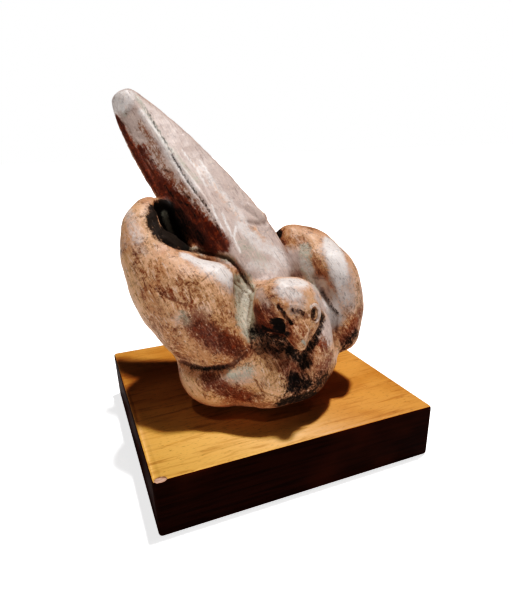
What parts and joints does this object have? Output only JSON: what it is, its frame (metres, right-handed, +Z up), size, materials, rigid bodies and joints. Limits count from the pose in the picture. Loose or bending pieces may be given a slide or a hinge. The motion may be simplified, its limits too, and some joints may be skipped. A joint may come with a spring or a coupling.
{
  "type": "terracotta pigeon sculpture",
  "caption": "Stylised pigeon in waxed terracotta, tail raised and head tucked on its breast, resting on a square varnished wooden base; a table ornament.",
  "frame": {"origin": "centre of the wooden base's underside", "axes": "+Z up, +X along the base's front edge towards the bird's left, -Y the way the bird's head faces"},
  "size_m": [0.184, 0.1899, 0.2423],
  "materials": {
    "varnished_wood": "dark varnished sides, golden-brown top with fine grain",
    "waxed_terracotta": "waxed fired clay with dark patina in the hollows"
  },
  "bodies": {
    "root": {"wooden_base": "varnished_wood", "terracotta_pigeon": "waxed_terracotta"}
  },
  "joints": []
}
